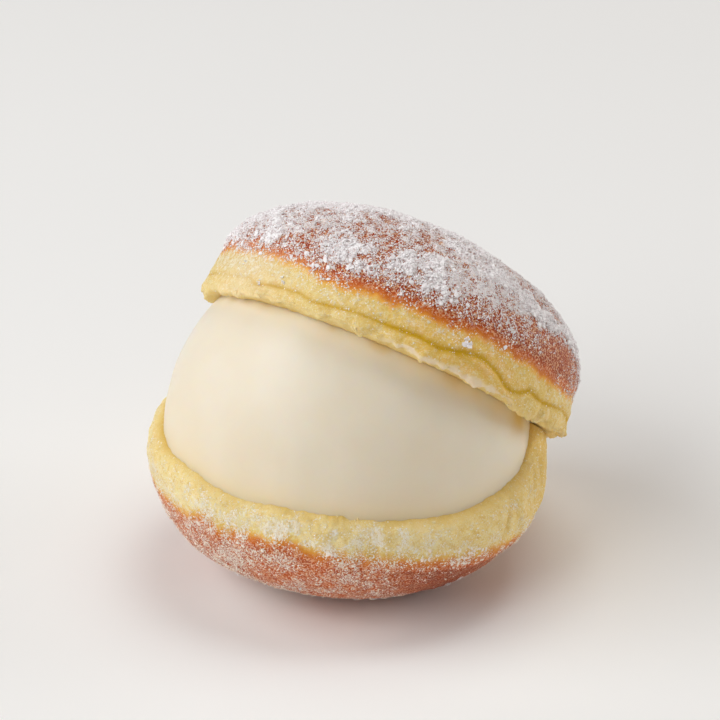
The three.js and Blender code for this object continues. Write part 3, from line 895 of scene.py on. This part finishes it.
def dough_colour(shade, browning, stops, broad, middle, small, finest):
    """Pale to browned dough, mottled where it is pale, with its open crumb, painted shade in its folds,
    pleats and beside the cream, and smears of cream.
    """
    baked = shade.math("ADD", browning, shade.span(middle, 0.3, 0.7, -0.06, 0.06), True)
    skin = shade.ramp(baked, stops)
    unbaked = shade.span(browning, 0.15, 0.5, 1.0, 0.0)
    golden = stops[1][1]
    for layer, low, high, most, share, tint in (
        (broad, 0.42, 0.62, 0.5, 0.5, golden),
        (small, 0.5, 0.68, 0.75, 0.5, srgb(255, 246, 218)),
        (small, 0.48, 0.32, 0.8, 0.5, srgb(218, 170, 66)),
        (finest, 0.54, 0.68, 0.9, 0.6, srgb(255, 246, 214)),
        (finest, 0.46, 0.34, 0.6, 0.5, srgb(214, 164, 62)),
        (middle, 0.5, 0.68, 0.55, 0.5, srgb(254, 242, 206)),
    ):
        mottle = shade.times(shade.span(layer, low, high, 0.0, most), unbaked)
        skin = shade.mix(mottle, skin, shade.mix(share, skin, tint))
    inside = shade.mix(shade.span(small, 0.35, 0.65), srgb(251, 230, 168), srgb(243, 210, 120))
    for mark, most, tint in (
        ("crumb", 0.6, inside),
        ("contact", 0.55, srgb(230, 184, 88)),
        # painted shade: deep yellow in folds, pleats and on the rim beside the cream
        ("painted_fold_shade_and_gold", 0.95, srgb(210, 164, 14)),
        ("smear", 0.75, srgb(252, 232, 206)),
    ):
        skin = shade.mix(shade.times(shade.attribute(mark), most), skin, tint)
    return skin


def sugar_dust(shade, browning, fine, finest):
    """The share of the skin that is under fine sugar: grains where it is covered, and sparks all over."""
    cover = shade.math("MAXIMUM", shade.attribute("sugar"), shade.attribute("veil"))
    present = shade.span(cover, 0.0, 0.12)
    grains = shade.math("ADD", fine, shade.times(cover, shade.span(browning, 0.1, 0.5, 0.25, 0.24)))
    coat = shade.times(shade.span(grains, 0.625, 0.69, 0.0, 0.95), present)
    sparkle = shade.math("ADD", finest, shade.times(cover, 0.16))
    sparks = shade.span(sparkle, 0.64, 0.7, 0.0, 0.85)
    dust = shade.math("MAXIMUM", coat, sparks)
    return shade.times(dust, shade.span(browning, 0.1, 0.5, 0.85, 1.0), True)


def crust_material(name, stops, powder_on_brown, grain_mm, speckle_colour, speckle_share):
    shade = Shader(name)
    browning = shade.attribute("browning")
    broad = shade.noise(9.0)
    middle = shade.noise(2.4, 4.0)
    small = shade.noise(1.0, 3.0, 0.6)
    fine = shade.noise(grain_mm, 3.0, 0.65)
    finest = shade.noise(0.3, 2.0, 0.6)
    skin = dough_colour(shade, browning, stops, broad, middle, small, finest)
    speckle = shade.span(shade.noise(0.42, 2.0, 0.6), 0.49, 0.58)
    speckle = shade.times(speckle, shade.span(browning, 0.45, 0.8, 0.0, speckle_share))
    speckle = shade.times(speckle, shade.span(shade.attribute("bare"), 0.0, 1.0, 1.0, 0.3))
    skin = shade.mix(speckle, skin, speckle_colour)
    dust = sugar_dust(shade, browning, fine, finest)
    powder = shade.mix(shade.span(browning, 0.1, 0.5), srgb(255, 243, 219), powder_on_brown)
    powder = shade.mix(shade.span(finest, 0.6, 0.4, 0.0, 0.35), powder, shade.mix(0.5, powder, skin))
    roughness = shade.math("MAXIMUM", shade.span(browning, 0.1, 0.6, 0.65, 0.5), shade.times(dust, 0.8))
    relief = shade.math("ADD", shade.times(small, 0.7), shade.times(fine, 0.4))
    relief = shade.math("ADD", relief, shade.times(dust, 0.4))
    return shade.finish(
        Base_Color=shade.mix(dust, skin, powder), Roughness=roughness, Normal=shade.bump(relief, 0.5, 0.7),
        Subsurface_Weight=0.15, Subsurface_Radius=(1.0, 0.55, 0.25), Subsurface_Scale=1.4 * MM,
        Specular_IOR_Level=0.18,
    )


def cream_material():
    shade = Shader("whipped_cream")
    broad = shade.noise(16.0, 2.0)
    colour = shade.mix(shade.span(broad, 0.3, 0.7), srgb(241, 233, 217), srgb(239, 229, 210))
    # golden near the rim and under the lip; part of it is painted bounce light off the yellow dough
    colour = shade.mix(shade.times(shade.attribute("contact"), 0.6), colour, srgb(242, 204, 124))
    colour = shade.mix(shade.times(shade.attribute("stain"), 0.75), colour, srgb(228, 188, 78))
    relief = shade.math("ADD", shade.times(broad, 0.8), shade.times(shade.noise(0.8, 2.0), 0.06))
    return shade.finish(
        Base_Color=colour, Roughness=shade.span(broad, 0.3, 0.7, 0.42, 0.52),
        Normal=shade.bump(relief, 0.5, 0.35),
        Subsurface_Weight=0.6, Subsurface_Radius=(1.0, 0.75, 0.45), Subsurface_Scale=3 * MM,
        Specular_IOR_Level=0.3,
    )


def sugar_material(name, dull, clear, bright):
    shade = Shader(name)
    tint = shade.noise(0.7, 2.0)
    colour = shade.ramp(tint, [(0.32, dull), (0.5, clear), (0.7, bright)])
    return shade.finish(
        Base_Color=colour, Roughness=shade.span(tint, 0.3, 0.7, 0.25, 0.5),
        Normal=shade.bump(shade.noise(0.2, 2.0), 0.08, 0.5),
    )


def crumb_material():
    shade = Shader("dough_crumb")
    middle = shade.noise(1.5, 3.0)
    colour = shade.mix(shade.span(middle, 0.3, 0.7), srgb(251, 234, 186), srgb(243, 214, 142))
    return shade.finish(
        Base_Color=colour, Roughness=shade.span(middle, 0.3, 0.7, 0.5, 0.7),
        Normal=shade.bump(middle, 0.2, 0.6),
    )


def floor_material():
    shade = Shader("floor")
    colour = shade.mix(shade.noise(300.0, 2.0), srgb(250, 250, 250), srgb(247, 247, 247))
    return shade.finish(Base_Color=colour, Roughness=0.9, Specular_IOR_Level=0.1)


# Sugar and crumbs
def crystal_mesh(name, corners, sides, seed, crystals=1, spread=0.0, crystal_size=1.0, tumbled=False):
    """A single chipped crystal about one unit across, or a heap of tumbled ones."""
    draw = np.random.default_rng(seed)
    corners = np.array(corners)
    verts, faces = [], []
    for _ in range(crystals):
        shape = corners * draw.uniform(0.7, 1.1, 3) + draw.uniform(-0.1, 0.1, corners.shape)
        turn = Matrix.Rotation(draw.uniform(0, 6.3) * tumbled, 3, Vector(draw.normal(size=3)))
        where = draw.normal(size=3) * spread * [1, 1, 0.6]
        faces += [[corner + len(verts) for corner in side] for side in sides]
        verts += (shape @ np.array(turn).T * crystal_size + where).tolist()
    mesh = bpy.data.meshes.new(name)
    mesh.from_pydata(verts, [], faces)
    return mesh


def crumb_mesh(name, seed, flatness, unevenness, smooth):
    """One uneven lump, about one unit across: a grain with each side split in four and rounded."""
    draw = np.random.default_rng(seed)
    points = [np.array(corner) / REACH for corner in GRAIN]
    halves, sides = {}, []

    def between(first, second):
        key = (min(first, second), max(first, second))
        if key not in halves:
            halves[key] = len(points)
            middle = points[first] + points[second]
            points.append(middle / np.linalg.norm(middle))
        return halves[key]
    for a, b, c in GRAIN_SIDES:
        ab, bc, ca = between(a, b), between(b, c), between(c, a)
        sides += [(a, ab, ca), (ab, b, bc), (ca, bc, c), (ab, bc, ca)]
    verts = []
    for point in points:
        swell = draw.uniform(1 - unevenness, 1 + unevenness)
        verts.append((point * 0.5 * swell * [1, 1, flatness]).tolist())
    mesh = bpy.data.meshes.new(name)
    mesh.from_pydata(verts, [], sides)
    mesh.polygons.foreach_set("use_smooth", np.full(len(mesh.polygons), smooth))
    return mesh


def scatter_tree():
    """Node tree that strews turned, unequal copies of a grain over a surface by one of its attributes."""
    tree = bpy.data.node_groups.new("sugar_scatter", "GeometryNodeTree")
    sockets = {}
    for name, kind in (
        ("Surface", "Geometry"), ("Amount", "String"), ("Density", "Float"), ("Seed", "Int"),
        ("Grain", "Object"), ("Grain size", "Float"), ("Size spread", "Float"), ("Lift", "Float"),
        ("Tilt", "Float"), ("Finish", "Material"),
    ):
        socket = tree.interface.new_socket(name, in_out="INPUT", socket_type="NodeSocket" + kind)
        sockets[name] = socket.identifier
    tree.interface.new_socket("Grains", in_out="OUTPUT", socket_type="NodeSocketGeometry")
    build = Nodes(tree)
    given = build.node("NodeGroupInput").outputs
    seed = given["Seed"]
    # points on the surface, as thick as the attribute says, each lifted a little
    amount = build.node("GeometryNodeInputNamedAttribute", {"Name": given["Amount"]}, data_type="FLOAT")
    strewn = build.node("GeometryNodeDistributePointsOnFaces", {
        "Mesh": given["Surface"], "Seed": seed,
        "Density": build.times(amount.outputs["Attribute"], given["Density"]),
    }).outputs
    rise = build.node("FunctionNodeRandomValue", {3: given["Lift"], "Seed": seed}).outputs[1]
    push = build.node("ShaderNodeVectorMath", {0: strewn["Normal"], "Scale": rise}, operation="SCALE")
    lifted = build.node("GeometryNodeSetPosition", {"Geometry": strewn["Points"], "Offset": push.outputs[0]})
    # a turn about the surface, with some tilt
    most = build.node("ShaderNodeCombineXYZ", {0: given["Tilt"], 1: given["Tilt"], 2: FULL_TURN}).outputs[0]
    least = build.node("ShaderNodeVectorMath", {0: most, "Scale": -1.0}, operation="SCALE").outputs[0]
    any_turn = build.node("FunctionNodeRandomValue", {
        0: least, 1: most, "Seed": seed,
    }, data_type="FLOAT_VECTOR")
    as_turn = build.node("FunctionNodeEulerToRotation", {0: any_turn.outputs[0]}).outputs[0]
    turn = build.node("FunctionNodeRotateRotation", {
        0: strewn["Rotation"], 1: as_turn,
    }, rotation_space="LOCAL")
    # a size about the middle one
    size = build.node("FunctionNodeRandomValue", {
        2: build.math("SUBTRACT", 1.0, given["Size spread"]),
        3: build.math("ADD", 1.0, given["Size spread"]),
        "Seed": seed,
    })
    grain = build.node("GeometryNodeObjectInfo", {"Object": given["Grain"]})
    copies = build.node("GeometryNodeInstanceOnPoints", {
        "Points": lifted.outputs[0], "Instance": grain.outputs["Geometry"], "Rotation": turn.outputs[0],
        "Scale": build.times(size.outputs[1], given["Grain size"]),
    })
    real = build.node("GeometryNodeRealizeInstances", {0: copies.outputs[0]})
    coated = build.node("GeometryNodeSetMaterial", {"Geometry": real.outputs[0], "Material": given["Finish"]})
    build.node("NodeGroupOutput", {0: coated.outputs[0]})
    return tree, sockets


def strew(tree, sockets, name, surface, shape, amount, per_mm2, seed, size_mm, spread, lift_mm, tilt, finish):
    """One piece of grains of one shape, strewn over a surface as thick as its attribute says."""
    grain = add_object(name + "_grain", shape.copy())
    carrier = add_object(name + "_carrier", surface.data)
    modifier = carrier.modifiers.new("scatter", "NODES")
    modifier.node_group = tree
    settings = {
        "Amount": amount, "Density": per_mm2 / MM ** 2, "Seed": seed, "Grain": grain,
        "Grain size": size_mm * MM, "Size spread": spread, "Lift": lift_mm * MM, "Tilt": tilt,
        "Finish": finish,
    }
    for key, value in settings.items():
        modifier[sockets[key]] = value
    carrier.update_tag()
    bpy.context.view_layer.update()
    evaluated = carrier.evaluated_get(bpy.context.evaluated_depsgraph_get())
    mesh = bpy.data.meshes.new_from_object(evaluated)
    mesh.name = name
    bpy.data.objects.remove(carrier)
    bpy.data.objects.remove(grain)
    mesh.materials.clear()
    mesh.materials.append(finish)
    return add_object(name, mesh)


def upper_lump_spot(share, angle):
    """A place on the dome, and the directions outwards and round it."""
    radius = SHOULDER_RADIUS * UPPER_LUMP_REACH * math.sqrt(share)

    def at(distance):
        height = BAND_HEIGHT + DOME_HEIGHT * math.sqrt(1 - (distance / SHOULDER_RADIUS) ** 2)
        flat = upper_surface(np.array([[distance]]), np.array([[height]]), np.array([[angle]]))
        return upper_to_world(flat)[0, 0]
    return at(radius), at(radius + 1) - at(radius - 1), upper_turn @ [-math.sin(angle), math.cos(angle), 0]


def lower_lump_spot(share, angle):
    """A place on the bowl, and the directions down and round it."""
    level = LOWER_LUMPS_FROM + (LOWER_LUMPS_TO - LOWER_LUMPS_FROM) * share

    def at(climb):
        turn = climb * math.pi / 2
        radius, height = LOWER_RADIUS * math.cos(turn), -WIDEST_BELOW_CUT - LOWER_DEPTH * math.sin(turn)
        return lower_surface(np.array([[radius]]), np.array([[height]]), np.array([[angle]]))[0, 0]
    return at(level), at(level + 0.02) - at(level - 0.02), np.array([-math.sin(angle), math.cos(angle), 0])


def sugar_lumps(name, count, salt, place, finish):
    """The largest clumps of sugar, at the same spots as in the solids, each a heap of crystals."""
    verts, faces = [], []
    for number in range(count):
        share = (number + 0.2 + 0.6 * scatter(number, salt)) / count
        angle = number * GOLDEN_ANGLE + 0.8 * (scatter(number, salt + 1) - 0.5)
        smaller = scatter(number, salt + 2) ** 0.7
        size = LUMP_RADIUS_LARGE + (LUMP_RADIUS_SMALL - LUMP_RADIUS_LARGE) * smaller
        spot, run, around = place(share, angle)
        normal = np.cross(run, around)
        normal /= np.linalg.norm(normal)
        turn = np.array(UPRIGHT.rotation_difference(Vector(normal)).to_matrix())
        heap_seed = 900 + salt * 1000 + number
        heap = crystal_mesh(
            "heap", GRAIN, GRAIN_SIDES, heap_seed, LUMP_CRYSTALS, LUMP_SPREAD, LUMP_CRYSTAL_SIZE, True,
        )
        base = len(verts)
        for vertex in heap.vertices:
            local = np.array(vertex.co) * [1, 1, LUMP_FLATNESS] * size
            verts.append(((spot + normal * size * LUMP_LIFT + turn @ local) * MM).tolist())
        faces += [[base + corner for corner in face.vertices] for face in heap.polygons]
        bpy.data.meshes.remove(heap)
    mesh = bpy.data.meshes.new(name)
    mesh.from_pydata(verts, [], faces)
    mesh.materials.append(finish)
    return add_object(name, mesh)


# Stage
def make_floor():
    half = FLOOR_HALF
    corners = [(-half, -half, 0), (half, -half, 0), (half, half, 0), (-half, half, 0)]
    mesh = bpy.data.meshes.new("floor")
    mesh.from_pydata(corners, [], [(0, 1, 2, 3)])
    mesh.materials.append(floor_material())
    floor = add_object("floor", mesh)


def add_area_light(name, azimuth, elevation, power, colour):
    """A soft round light that looks at the object."""
    light = bpy.data.lights.new(name, "AREA")
    light.shape = "DISK"
    light.size = LIGHT_WIDTH
    light.energy = power
    light.color = colour
    turn, rise = math.radians(azimuth), math.radians(elevation)
    away = Vector((math.cos(rise) * math.cos(turn), math.cos(rise) * math.sin(turn), math.sin(rise)))
    lamp = add_object(name, light)
    lamp.location = LIGHT_AIM + LIGHT_DISTANCE * away
    lamp.rotation_euler = away.to_track_quat("Z", "Y").to_euler()


def make_surround():
    world = bpy.data.worlds.new("studio")
    world.use_nodes = True
    background = world.node_tree.nodes["Background"].inputs
    background["Color"].default_value = SURROUND_COLOUR
    background["Strength"].default_value = SURROUND_STRENGTH
    bpy.context.scene.world = world


def make_camera():
    camera = bpy.data.cameras.new("camera")
    camera.sensor_width = CAMERA_SENSOR_MM
    camera.lens = CAMERA_LENS_MM
    camera.clip_start = CAMERA_NEAREST
    seen = add_object("camera", camera)
    elevation = math.radians(CAMERA_ELEVATION)
    seen.location = CAMERA_AIM + CAMERA_DISTANCE * Vector((0, -math.cos(elevation), math.sin(elevation)))
    seen.rotation_euler = (math.pi / 2 - elevation, 0, 0)
    bpy.context.scene.camera = seen


make_floor()
make_surround()
for name, settings in LIGHTS.items():
    add_area_light(name, *settings)
make_camera()
bpy.context.scene.view_settings.view_transform = "Standard"

lower_half = make_lower_half()
upper_half = make_upper_half()
cream_ball = make_cream()

lower_half.data.materials.append(crust_material(
    "lower_crust",
    stops=[
        (0.0, srgb(251, 232, 170)), (0.16, srgb(244, 209, 120)), (0.34, srgb(234, 168, 76)),
        (0.52, srgb(219, 123, 44)), (0.8, srgb(195, 85, 30)), (1.0, srgb(146, 50, 16)),
    ],
    powder_on_brown=srgb(254, 238, 226), grain_mm=0.45,
    speckle_colour=srgb(252, 210, 170), speckle_share=0.66,
))
upper_half.data.materials.append(crust_material(
    "upper_crust",
    stops=[
        (0.0, srgb(237, 212, 140)), (0.16, srgb(237, 199, 105)), (0.34, srgb(240, 172, 70)),
        (0.52, srgb(216, 122, 40)), (0.75, srgb(194, 86, 28)), (1.0, srgb(160, 60, 20)),
    ],
    powder_on_brown=srgb(253, 246, 244), grain_mm=0.9,
    speckle_colour=srgb(250, 206, 162), speckle_share=0.62,
))
cream_ball.data.materials.append(cream_material())
sugar = sugar_material("sugar", srgb(234, 223, 225), srgb(253, 250, 252), srgb(255, 254, 255))
warm_sugar = sugar_material("warm_sugar", srgb(249, 226, 208), srgb(254, 240, 226), srgb(255, 249, 240))
pale_sugar = sugar_material("pale_sugar", srgb(255, 239, 212), srgb(255, 245, 226), srgb(255, 251, 240))
dough = crumb_material()

tree, sockets = scatter_tree()
chip = crystal_mesh("chip", CHIP, CHIP_SIDES, 3)
flake = crystal_mesh("flake", FLAKE, CHIP_SIDES, 7)
grain = crystal_mesh("grain", GRAIN, GRAIN_SIDES, 4)
clump = crumb_mesh("clump", 5, 0.55, 0.35, False)
crumb = crumb_mesh("crumb", 6, 0.8, 0.25, True)
# Strewn pieces: name, surface, shape, the attribute that says how thick, most for each square
# millimetre, seed, size, spread of sizes, lift, tilt in radians and finish
COATS = [
    ("sugar_upper_fine", upper_half, flake, "sugar", 9.0, 1, 0.34, 0.35, 0.1, 0.5, sugar),
    ("sugar_upper_more", upper_half, chip, "sugar", 9.0, 11, 0.34, 0.35, 0.14, 0.9, sugar),
    ("sugar_upper_grains", upper_half, grain, "heaps", 5.6, 2, 0.46, 0.35, 0.2, 0.8, sugar),
    ("sugar_upper_clumps", upper_half, clump, "heaps", 1.3, 3, 0.85, 0.45, 0.1, 0.4, sugar),
    ("sugar_lower_fine", lower_half, flake, "sugar", 9.0, 4, 0.32, 0.35, 0.05, 0.4, warm_sugar),
    ("sugar_lower_grains", lower_half, grain, "sugar", 1.2, 5, 0.34, 0.35, 0.1, 0.8, warm_sugar),
    ("sugar_lower_clumps", lower_half, clump, "heaps", 1.0, 6, 0.55, 0.4, 0.05, 0.4, warm_sugar),
    ("sugar_upper_specks", upper_half, flake, "speck", 6.0, 7, 0.34, 0.4, 0.04, 0.25, pale_sugar),
    ("sugar_lower_specks", lower_half, flake, "speck", 13.0, 8, 0.34, 0.4, 0.04, 0.25, pale_sugar),
    ("crumbs_upper", upper_half, crumb, "torn", 0.9, 9, 0.55, 0.5, 0.05, 0.8, dough),
    ("crumbs_lower", lower_half, crumb, "torn", 0.5, 10, 0.5, 0.5, 0.05, 0.8, dough),
]
strewn = [strew(tree, sockets, *coat) for coat in COATS]
strewn.append(sugar_lumps("sugar_upper_lumps", UPPER_LUMPS, UPPER_LUMP_SALT, upper_lump_spot, sugar))
strewn.append(sugar_lumps("sugar_lower_lumps", LOWER_LUMPS, LOWER_LUMP_SALT, lower_lump_spot, sugar))

for piece, node, slot in (
    (lower_half, "bun_bottom", "lower_crust"),
    (upper_half, "bun_top", "upper_crust"),
    (cream_ball, "cream_filling", "cream"),
):
    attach(piece, "root")
    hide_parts(node)
for piece in strewn:
    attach(piece, "root")
